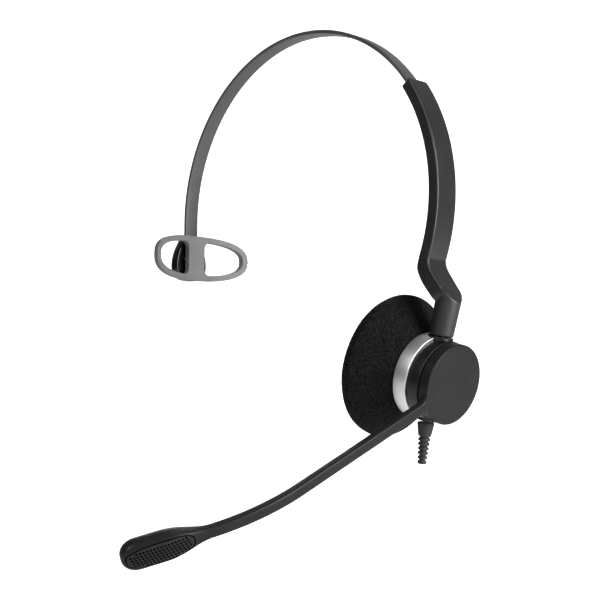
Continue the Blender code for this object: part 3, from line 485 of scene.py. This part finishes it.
def make_bracket():
    """Glossy shield with knuckles for the rest's pin, a slot for the band and two rivet holes."""
    outline = bracket_outline()
    back = BRACKET_FRONT_X - BRACKET_T
    middle = Vector((0, -17.0))

    def ring(x, shrink):
        """The outline at depth x, drawn in towards its middle by shrink."""
        out = []
        for y, z in outline:
            away = Vector((y, z)) - middle
            place = middle + away * (1 - shrink / away.length)
            out.append((x, place.x, place.y))
        return out

    # Depth, and how far the outline is drawn in there: rounded behind, a fine edge in front
    depths = [(back, 3.4), (back + 0.06, 2.4), (back + 0.25, 1.5), (back + 0.6, 0.8),
              (back + 1.1, 0.3), (back + 1.7, 0.03), (BRACKET_FRONT_X - 0.5, 0.0),
              (BRACKET_FRONT_X - 0.18, 0.08), (BRACKET_FRONT_X - 0.04, 0.25), (BRACKET_FRONT_X, 0.5)]
    bracket = raw_object("bracket_shield", loft([ring(x, s) for x, s in depths]))
    turn_y = Matrix.Rotation(-math.pi / 2, 4, "X")
    at_pivot = Matrix.Translation((PIVOT_X, 0, REST_Z))
    steps = []
    for side in (-1, 1):
        middle_y = side * KNUCKLE_Y
        knuckle = rod(KNUCKLE_R, middle_y - KNUCKLE_HALF_W, middle_y + KNUCKLE_HALF_W)
        steps.append(("UNION", moved(knuckle, at_pivot @ turn_y)))
    lug_room = LUG_HALF_W + GAP
    steps.append(("DIFFERENCE", block((PIVOT_X - 2.0, -lug_room, REST_Z - 2.0),
                                      (PIVOT_X + 3, lug_room, REST_Z + 1.95))))
    slot_back = -BAND_SIDE_R - BAND_T / 2 - GAP
    steps.append(("DIFFERENCE", block((slot_back, -BAND_W / 2 - GAP, BAND_FOOT_Z - 0.2),
                                      (slot_back + 4, BAND_W / 2 + GAP, 0))))
    steps.append(("DIFFERENCE", moved(rod(PIN_HOLE_R, -6, 6), at_pivot @ turn_y)))
    for side in (-1, 1):
        place = (Matrix.Translation((0, side * RIVET_Y, RIVET_Z))
                 @ Matrix.Rotation(math.pi / 2, 4, "Y"))
        steps.append(("DIFFERENCE", moved(rod(RIVET_R, -80, -60), place)))
    carved(bracket, steps)
    piece(bracket, "gloss_black", "headband", "temple_bracket", angle=32)


# ---------------------------------------------------------------- temple rest

def window_outline(side):
    """One opening of the rest as (y, z) points: the rim's curve, closed by a bar with round corners."""
    rim = superellipse(REST_HALF_L - REST_BAR, REST_HALF_H - REST_BAR, WINDOW_POWER, 144)
    start = (REST_BRIDGE if side > 0 else REST_BRIDGE_FRONT) + WINDOW_CORNER
    curve = [(y, z) for y, z in rim if y > start]
    upper = sorted([p for p in curve if p[1] >= 0], key=lambda p: p[0])
    lower = sorted([p for p in curve if p[1] < 0], key=lambda p: -p[0])
    top_z, low_z = upper[0][1], lower[-1][1]
    corner, foot = [], []
    for a in spread(90, 180, 10):
        c, s = math.cos(math.radians(a)), math.sin(math.radians(a))
        corner.append((start + WINDOW_CORNER * c, top_z - WINDOW_CORNER * (1 - s)))
        foot.append((start + WINDOW_CORNER * c, low_z + WINDOW_CORNER * (1 - s)))
    loop = upper + lower + foot + corner[::-1]
    return [(side * y, z) for y, z in loop]


def make_rest():
    """Bent oval pad with two openings and a lug behind it for the pivot pin."""
    centre_x = REST_FACE_X + REST_BEND_R
    turns = [math.radians(a) for a in spread(161, 199, 64)]

    def bent(radius):
        return [(centre_x + radius * math.cos(a), radius * math.sin(a)) for a in turns]

    rest = raw_object("temple_rest_pad", prism(bent(REST_BEND_R) + bent(REST_BEND_R + REST_T)[::-1],
                                               -12, 12))
    turn_y = Matrix.Rotation(math.pi / 2, 4, "X")
    lug_high = REST_FACE_X - REST_T - PIVOT_X + 0.8
    at_pivot = Matrix.Translation((PIVOT_X, 0, 0))
    rim = superellipse(REST_HALF_L, REST_HALF_H, REST_POWER, 144)
    steps = [("INTERSECT", prism(rim, -90, 20, "X"))]
    for side in (-1, 1):
        steps.append(("DIFFERENCE", prism(window_outline(side), -91, 21, "X")))
    lug = block((-0.9, -LUG_HALF_W, -1.3), (lug_high, LUG_HALF_W, 1.3))
    steps.append(("UNION", moved(lug, at_pivot)))
    steps.append(("UNION", moved(rod(LUG_R, -LUG_HALF_W, LUG_HALF_W), at_pivot @ turn_y)))
    carved(rest, steps)
    remeshed(rest, voxel=0.26, rounds=5)
    carved(rest, [("DIFFERENCE", moved(rod(PIN_HOLE_R, -3, 3), at_pivot @ turn_y))])
    piece(rest, "grey_rubber", "temple_pad", "temple_rest", Matrix.Translation((0, 0, REST_Z)),
          angle=60)


# ---------------------------------------------------------------- slider arm

def arm_ring(outer, inner, half):
    """Rounded section between an outer and an inner point of the side view."""
    outer, inner = Vector((outer[0], 0, outer[1])), Vector((inner[0], 0, inner[1]))
    centre = (outer + inner) / 2
    out = (outer - inner).normalized()
    across = Vector((0, 1, 0))
    thick = (outer - inner).length
    return [centre + across * w + out * t
            for w, t in round_rect(2 * half, thick, min(ARM_EDGE_R, 0.45 * thick))]


def make_arm():
    """Curved arm with a rounded top end, a Z-bend, a round neck and the band's channel inside."""
    half = ARM_W / 2
    rings = []
    # Fall of the angle from the top in degrees, then how far the section draws in and narrows
    top_end = [(0.0, 0.85, 1.6), (0.06, 0.5, 1.25), (0.2, 0.22, 0.85), (0.42, 0.05, 0.45),
               (0.7, 0.0, 0.2), (1.05, 0.0, 0.05), (1.4, 0.0, 0.0)]
    for drop, tuck, narrow in top_end:
        a = ARM_TOP - drop
        outer, inner = polar(ARM_R_OUT - tuck, a), polar(ARM_R_IN + tuck, a)
        rings.append(arm_ring((outer.x, outer.z), (inner.x, inner.z), half - narrow))
    for a in spread(ARM_TOP - top_end[-1][0], ARM_FOOT, 48)[1:]:
        outer, inner = polar(ARM_R_OUT, a), polar(ARM_R_IN, a)
        rings.append(arm_ring((outer.x, outer.z), (inner.x, inner.z), half))
    # Outer x and z, inner x and z, and half width of each section down the Z-bend
    bend = [(67.2, -26.5, 61.9, -27.2, half), (67.9, -28.25, 62.3, -29.6, half),
            (69.8, -31.15, 64.0, -33.0, half), (72.05, -34.25, 66.4, -36.3, half - 0.1),
            (74.3, -37.05, 68.7, -39.3, half - 0.5), (75.6, -39.0, 70.6, -41.6, ARM_ELBOW_HALF_W)]
    last = polar(ARM_R_OUT, ARM_FOOT), polar(ARM_R_IN, ARM_FOOT)
    path = [(last[0].x, last[0].z, last[1].x, last[1].z, half)] + bend
    for ox, oz, ix, iz, width in smooth_through(path, 5)[1:]:
        rings.append(arm_ring((ox, oz), (ix, iz), width))
    arm = raw_object("slider_arm_shell", loft(rings))
    neck = turned([(0, NECK_FOOT), (NECK_R_FOOT - 0.3, NECK_FOOT), (NECK_R_FOOT, NECK_FOOT + 0.3),
                   (NECK_R_TOP, NECK_TOP), (0, NECK_TOP)], 96)
    # The outer face of the Z-bend is shaved flat from its upper edge to its lower one
    top, foot = Vector((67.9, -28.25)), Vector((74.15, -37.05))
    slope = (foot - top).normalized()
    outward = Vector((-slope.y, slope.x))
    shave = prism([top, top + slope * 18, top + slope * 18 + outward * 12, top + outward * 12],
                  -9, 9, "Y")
    carved(arm, [("UNION", moved(neck, NECK)), ("DIFFERENCE", shave)])
    remeshed(arm, voxel=0.24, rounds=4)
    channel = []
    inside, side = ARM_R_IN - 3, CHANNEL_W / 2
    for a in spread(ARM_TOP + 5, ARM_FOOT + 0.5, 60):
        channel.append([polar(inside, a, -side), polar(CHANNEL_R, a, -side),
                        polar(CHANNEL_R, a, side), polar(inside, a, side)])
    carved(arm, [("DIFFERENCE", loft(channel)),
                 ("DIFFERENCE", moved(rod(NECK_BORE_R, NECK_FOOT - 2, NECK_BORE_END), NECK))])
    piece(arm, "arm", "slider_arm", "arm_shell", angle=48)


# ---------------------------------------------------------------- ear cup

def make_drum():
    """Drum with the silver ring round its back, the collar above and the lead's socket below."""
    front_back = DRUM_FRONT - DRUM_FRONT_T
    seat_front = RING_FRONT + 0.2
    shell = eased([(SHAFT_HOLE_R, DRUM_FRONT), (DRUM_R, DRUM_FRONT), (DRUM_R, seat_front),
                   (RING_SEAT_R, seat_front), (RING_SEAT_R, DRUM_BACK), (DRUM_IN_R, DRUM_BACK),
                   (DRUM_IN_R, front_back), (SHAFT_HOLE_R, front_back)], 0.14)
    drum = raw_object("cup_drum", turned(shell, 128))
    neck, lead = up_the_neck(NECK_DEPTH), down_the_cup(RELIEF_DEPTH)
    carved(drum, [
        # A boss for the collar and one for the lead's socket
        ("UNION", moved(rod(NECK_BOSS_R, 10.4, NECK_BOSS_END), neck)),
        ("UNION", moved(rod(LEAD_BOSS_R, 11.0, 13.4), lead)),
        # The collar's seat with the stem's hole, then the socket's seat with the lead's bore
        ("DIFFERENCE", moved(rod(COLLAR_R + GAP, NECK_BOSS_END - 0.2, 18), neck)),
        ("DIFFERENCE", moved(rod(STEM_R + GAP + 0.05, 8, 18), neck)),
        ("DIFFERENCE", moved(rod(SOCKET_HOLE_R, SOCKET_START - 0.3, 18), lead)),
        ("DIFFERENCE", moved(rod(LEAD_BORE_R, 8, 18), lead)),
    ])
    piece(drum, "drum_black", "ear_cup", "drum_housing", CUP, angle=30)

    section = eased([(RING_IN_R, RING_BACK), (RING_R, RING_BACK),
                     (RING_R, RING_FRONT), (RING_IN_R, RING_FRONT)], 0.22)
    ring = raw_object("cup_ring", turned(section, 160))
    carved(ring, [("DIFFERENCE", moved(rod(COLLAR_R + GAP, 10, 20), neck)),
                  ("DIFFERENCE", moved(rod(RING_HOLE_R, 10, 20), lead))])
    piece(ring, "silver", "ear_cup", "silver_ring", CUP, angle=30)

    collar_in_r, collar_end = STEM_R + GAP, NECK_FOOT - 0.4
    collar = turned(eased([(collar_in_r, COLLAR_START), (COLLAR_R, COLLAR_START),
                           (COLLAR_R, collar_end), (collar_in_r, collar_end)], 0.22), 72)
    piece(raw_object("cup_collar", collar), "drum_black", "ear_cup", "swivel_collar",
          CUP @ neck, angle=35)
    socket = turned(eased([(LEAD_BORE_R, SOCKET_START), (SOCKET_R, SOCKET_START),
                           (SOCKET_R, SOCKET_END), (LEAD_BORE_R, SOCKET_END)], 0.3), 64)
    piece(raw_object("lead_socket", socket), "drum_black", "ear_cup", "relief_socket",
          CUP @ lead, angle=35)


def make_relief():
    """Ribbed rubber sleeve that tapers towards its tip and leans with the cup."""
    profile = [(RELIEF_BORE_R, 0.0), (2.95, 0.0), (3.0, 0.8), (2.55, 3.6), (2.25, RIBS_START)]
    for i in range(RELIEF_RIBS):
        start = RIBS_START + i * RIB_PITCH
        crest = 2.15 - 0.11 * i
        root = crest - 0.5
        profile += [(root, start + 0.1), (root, start + 0.6), (crest, start + 0.7),
                    (crest, start + RIB_PITCH)]
    tip = RIBS_START + RELIEF_RIBS * RIB_PITCH + 0.25
    profile += [(1.3, tip), (RELIEF_BORE_R, tip)]
    lean = (CUP @ down_the_cup(RELIEF_DEPTH) @ Matrix.Translation((0, 0, RELIEF_START))
            @ Matrix.Rotation(math.radians(-RELIEF_LEAN), 4, "Y"))
    relief = raw_object("lead_strain_relief", turned(eased(profile, 0.18, 3), 64))
    piece(relief, "rubber", "ear_cup", "strain_relief", lean, angle=45)


def make_cushion():
    """Foam pad: a domed disc stretched over the flared housing, its outside uneven like real foam.

    The hollow that sits on the housing keeps its exact shape.
    """
    outer = smooth_through([(14.7, -15.75), (15.5, -15.75), (20.6, -20.3), (24.9, -24.9), (26.25, -26.4),
                            (CUSHION_R - 0.1, -27.8), (26.0, -29.5), (24.6, -30.9),
                            (22.2, CUSHION_FACE + 0.1), (14.0, CUSHION_FACE + 0.05),
                            (7.0, CUSHION_FACE + 0.15), (0.0, CUSHION_FACE + 0.2)], 8)
    inner = [(0.0, CUSHION_FLOOR), (23.2, CUSHION_FLOOR), (23.25, -27.4), (FLARE_R + 0.4, FLARE_BACK)]
    cushion = raw_object("ear_cushion_foam", turned(outer + inner, 176))
    mesh = cushion.data
    moves = []
    for v in mesh.vertices:
        p = v.co
        if math.hypot(p.x, p.y) < FLARE_R + 0.7 and CUSHION_FLOOR - 0.1 < p.z < FLARE_BACK:
            moves.append(0.0)
            continue
        moves.append(sum(noise.noise(p * rate) * height for rate, height in FOAM_UNEVENNESS))
    for v, m in zip(mesh.vertices, moves):
        v.co += v.normal * m
    piece(cushion, "foam", "ear_cup", "ear_cushion", CUP)


# ---------------------------------------------------------------- boom

def boom_frame(s):
    """Point, direction, width axis and outward normal of the boom at a length s from the hub."""
    a = math.radians(BOOM_ANGLE)
    ahead = Vector((math.sin(a), -math.cos(a), 0))
    across = Vector((-math.cos(a), -math.sin(a), 0))
    out = Vector((0, 0, 1))
    start = -across * BOOM_DROP - out * BOOM_T / 2
    if s <= BOOM_STRAIGHT:
        return start + ahead * s, ahead, across, out
    turn = (min(s, BOOM_BEND_END) - BOOM_STRAIGHT) / BOOM_BEND_R
    tangent = ahead * math.cos(turn) - out * math.sin(turn)
    point = (start + ahead * (BOOM_STRAIGHT + BOOM_BEND_R * math.sin(turn))
             - out * BOOM_BEND_R * (1 - math.cos(turn)) + tangent * max(0.0, s - BOOM_BEND_END))
    return point, tangent, across, out * math.cos(turn) + ahead * math.sin(turn)


def fillet_reach(s, edge, radius):
    """Distance of the bar's side from the hub's centre line at s, with a fillet onto the disc."""
    centre = math.sqrt((HUB_R + radius) ** 2 - (edge + radius) ** 2)
    s = max(s, centre * HUB_R / (HUB_R + radius))
    if s >= centre:
        return edge
    return edge + radius - math.sqrt(radius ** 2 - (centre - s) ** 2)


def boom_section(s):
    """Low side, high side, thickness and squareness of the boom at s."""
    high = fillet_reach(s, BOOM_W / 2 - BOOM_DROP, FILLET_HIGH) + BOOM_DROP
    low = BOOM_DROP - fillet_reach(s, BOOM_W / 2 + BOOM_DROP, FILLET_LOW)
    if s < HEAD_START:
        return low, high, BOOM_T, 6.0
    t = min(1.0, (s - HEAD_START) / HEAD_GROW)
    grow = t * t * (3 - 2 * t)
    tip = max(0.0, (s - (BOOM_LENGTH - TIP_L)) / TIP_L)
    close = 0.12 + 0.88 * math.sqrt(max(0.0, 1 - tip ** 2.2))
    half = (BOOM_W + (HEAD_W - BOOM_W) * grow) / 2 * close
    return -half, half, (BOOM_T + (HEAD_T - BOOM_T) * grow) * close, 6.0 - 3.4 * grow


def boom_ring(s):
    point, _, across, out = boom_frame(s)
    low, high, thick, power = boom_section(s)
    return [point + across * (a + (low + high) / 2) + out * b
            for a, b in superellipse((high - low) / 2, thick / 2, power, 56)]


def boom_skin():
    """Bar and microphone head as one skin, with close sections at the fillet, the head and the tip."""
    stations = (spread(8.0, 12.8, 3) + spread(13.2, 18.2, 16) + spread(20.0, BOOM_STRAIGHT, 24)
                + spread(BOOM_STRAIGHT, HEAD_START, 28)[1:]
                + spread(HEAD_START, BOOM_LENGTH - TIP_L, 30)[1:]
                + [BOOM_LENGTH - TIP_L + TIP_L * math.sin(math.radians(a))
                   for a in (8, 16, 24, 32, 40, 48, 56, 64, 72, 80, 86, 90)])
    return loft([boom_ring(s) for s in stations])


def head_matrix():
    """Frame in the middle of the microphone head: X along it, Y across, Z outward."""
    point, ahead, across, out = boom_frame(PANEL_AT)
    return Matrix.Translation(point) @ Matrix((ahead, across, out)).transposed().to_4x4()


def panel_prism(half_l, half_w, low, high):
    return moved(prism(superellipse(half_l, half_w, PANEL_POWER, 72), low, high), head_matrix())


def channel_loft(low, high, first, last, count):
    """Square bar along the boom for the lead, from low to high above its centre line."""
    width = LEAD_CHANNEL_W
    rings = []
    for s in spread(first, last, count):
        point, _, across, out = boom_frame(s)
        rings.append([point + across * a * width / 2 + out * b
                      for a, b in ((-1, low), (1, low), (1, high), (-1, high))])
    return loft(rings)


def hole_matrix(x, y):
    """Frame of one slanted hole of the microphone panel."""
    return (head_matrix() @ Matrix.Translation((x, y, 0))
            @ Matrix.Rotation(math.radians(14), 4, "Z"))


def panel_holes():
    """Small square holes in slanted rows, kept clear of the panel's edge."""
    pitch_x, pitch_y, slant, lift = 1.12, 0.98, 0.34, 0.1
    holes = []
    for row in range(-3, 3):
        for col in range(-9, 10):
            x = col * pitch_x + row * slant
            y = row * pitch_y + lift
            along = abs(x) / (PANEL_HALF_L - 1.2)
            across = abs(y) / (PANEL_HALF_W - 0.55)
            if along ** PANEL_POWER + across ** PANEL_POWER <= 1:
                holes.append(moved(block((-0.36, -0.33, 2.0), (0.36, 0.33, 9)), hole_matrix(x, y)))
    return merged(holes)


def make_boom():
    """Hub disc, bar and microphone head in one, and the perforated panel set into the head."""
    hub = turned(eased([(0, 0), (HUB_R, 0), (HUB_R, -HUB_T), (HUB_IN_R, -HUB_T),
                        (HUB_IN_R, -HUB_FACE_T), (0, -HUB_FACE_T)], 0.2), 160)
    boom = raw_object("boom_body", hub)
    pocket = turned([(0, -HUB_FACE_T), (HUB_IN_R, -HUB_FACE_T), (HUB_IN_R, -9), (0, -9)], 160)
    carved(boom, [("UNION", boom_skin()), ("DIFFERENCE", pocket)])
    remeshed(boom, voxel=0.22, rounds=3)
    back = -BOOM_T / 2
    channel_top = back + LEAD_CHANNEL_T
    carved(boom, [
        # Open channel for the lead along the back, then a closed tunnel on into the head
        ("DIFFERENCE", channel_loft(back - 1.5, channel_top, LEAD_CHANNEL_START, HEAD_START - 0.7, 56)),
        ("DIFFERENCE", channel_loft(back + 0.5, channel_top, HEAD_START - 0.9, LEAD_TUNNEL_END, 8)),
        # Seat of the panel, chamber of the microphone and the opening behind it
        ("DIFFERENCE", panel_prism(PANEL_HALF_L, PANEL_HALF_W, -1.6, 12)),
        ("DIFFERENCE", moved(rod(3.45, -2.6, 2), head_matrix())),
        ("DIFFERENCE", panel_prism(4.3, 2.0, -9, -2)),
    ])
    piece(boom, "boom", "boom", "boom_arm", CUP, angle=48)

    panel = raw_object("mic_grille", boom_skin())
    carved(panel, [("INTERSECT", panel_prism(PANEL_HALF_L - 0.4, PANEL_HALF_W - 0.4, 2.1, 12)),
                   ("DIFFERENCE", panel_holes())])
    piece(panel, "boom", "boom", "mic_panel", CUP, angle=30)


make_band()
make_bracket()
make_rest()
make_arm()
make_drum()
make_relief()
make_cushion()
make_boom()


# ---------------------------------------------------------------- stage

# Metres. The floor is low enough for the boom to hang straight down with the arm slid right out.
FLOOR_Z = CAD_BOX[0][2] - 0.115
STAGE_HALF_W, STAGE_FRONT, SWEEP_START, SWEEP_R, WALL_H = 3.0, -3.0, 0.9, 0.5, 3.0

CAMERA_AT = (0.34026, -0.34984, -0.07013)
CAMERA_AZIMUTH, CAMERA_ELEVATION, CAMERA_ROLL = 44.3, -3.95, 0.42
CAMERA_LENS, SENSOR_W = 74.67, 36.0
LIGHT_TARGET = (0, 0, -0.03)


def seen_white(tree, socket, lit, seen):
    """Backdrop strength: lit for the light it throws, seen for how it looks to the camera."""
    path = tree.nodes.new("ShaderNodeLightPath")
    strength = tree.nodes.new("ShaderNodeMapRange")
    strength.inputs["To Min"].default_value = lit
    strength.inputs["To Max"].default_value = seen
    tree.links.new(path.outputs["Is Camera Ray"], strength.inputs["Value"])
    tree.links.new(strength.outputs["Result"], socket)


def make_stage():
    """Pale floor that sweeps up into a plain wall behind the object."""
    profile = [(STAGE_FRONT, 0.0), (SWEEP_START, 0.0)]
    for a in spread(0, 90, 16):
        c, s = math.cos(math.radians(a)), math.sin(math.radians(a))
        profile.append((SWEEP_START + SWEEP_R * s, SWEEP_R - SWEEP_R * c))
    profile.append((SWEEP_START + SWEEP_R, WALL_H))
    bm = bmesh.new()
    rows = []
    for along, height in profile:
        rows.append([bm.verts.new((side * STAGE_HALF_W, along, height)) for side in (-1, 1)])
    for a, b in zip(rows, rows[1:]):
        bm.faces.new((a[0], a[1], b[1], b[0]))
    sweep = raw_object("stage_sweep", bm)
    sweep.data.shade_smooth()
    turn = Matrix.Rotation(math.radians(CAMERA_AZIMUTH), 4, "Z")
    sweep.data.transform(Matrix.Translation((0, 0, FLOOR_Z)) @ turn)
    mat = surface("stage_white", (0.86, 0.86, 0.86), (0.90, 0.90, 0.90), 0.8, grain=6.0, bump=0.01,
                  blotch=120.0)
    shader_of(mat).inputs["Emission Color"].default_value = (1, 1, 1, 1)
    seen_white(mat.node_tree, shader_of(mat).inputs["Emission Strength"], lit=0.06, seen=1.0)
    sweep.data.materials.append(mat)


def towards(azimuth, elevation):
    """Unit vector from the headset to a viewpoint given in degrees."""
    az, el = math.radians(azimuth), math.radians(elevation)
    return Vector((math.sin(az) * math.cos(el), -math.cos(az) * math.cos(el), math.sin(el)))


def make_camera():
    """Camera at the photo's angle."""
    back = towards(CAMERA_AZIMUTH, CAMERA_ELEVATION)
    right = Vector((0, 0, 1)).cross(back).normalized()
    up = back.cross(right)
    turn = Matrix((right, up, back)).transposed().to_4x4()
    data = bpy.data.cameras.new("camera")
    data.lens = CAMERA_LENS
    data.sensor_width = SENSOR_W
    data.clip_start, data.clip_end = 0.01, 20.0
    camera = bpy.data.objects.new("camera", data)
    camera.matrix_world = (Matrix.Translation(CAMERA_AT) @ turn
                           @ Matrix.Rotation(math.radians(CAMERA_ROLL), 4, "Z"))
    bpy.context.scene.collection.objects.link(camera)
    bpy.context.scene.camera = camera


def softbox(name, azimuth, elevation, distance, size, power):
    """Square or oblong area light that faces the middle of the headset."""
    data = bpy.data.lights.new(name, "AREA")
    data.shape = "RECTANGLE"
    data.size, data.size_y = size
    data.energy = power
    back = towards(azimuth, elevation)
    light = bpy.data.objects.new(name, data)
    light.location = Vector(LIGHT_TARGET) + back * distance
    light.rotation_euler = (-back).to_track_quat("-Z", "Y").to_euler()
    bpy.context.scene.collection.objects.link(light)


def make_lights():
    """Dim white world and four softboxes; only the camera sees the world as bright."""
    world = bpy.data.worlds.new("studio")
    world.use_nodes = True
    background = world.node_tree.nodes["Background"]
    background.inputs["Color"].default_value = (1, 1, 1, 1)
    seen_white(world.node_tree, background.inputs["Strength"], lit=0.07, seen=1.0)
    bpy.context.scene.world = world
    softbox("key_softbox", azimuth=97, elevation=12, distance=1.0, size=(0.5, 0.8), power=16.0)
    softbox("fill_softbox", azimuth=2, elevation=30, distance=1.2, size=(0.3, 0.6), power=5.0)
    softbox("top_softbox", azimuth=70, elevation=78, distance=1.1, size=(0.4, 0.4), power=1.2)
    softbox("back_softbox", azimuth=232, elevation=30, distance=1.2, size=(0.4, 0.4), power=4.5)


bpy.context.scene.view_settings.view_transform = "Standard"
make_camera()
make_stage()
make_lights()
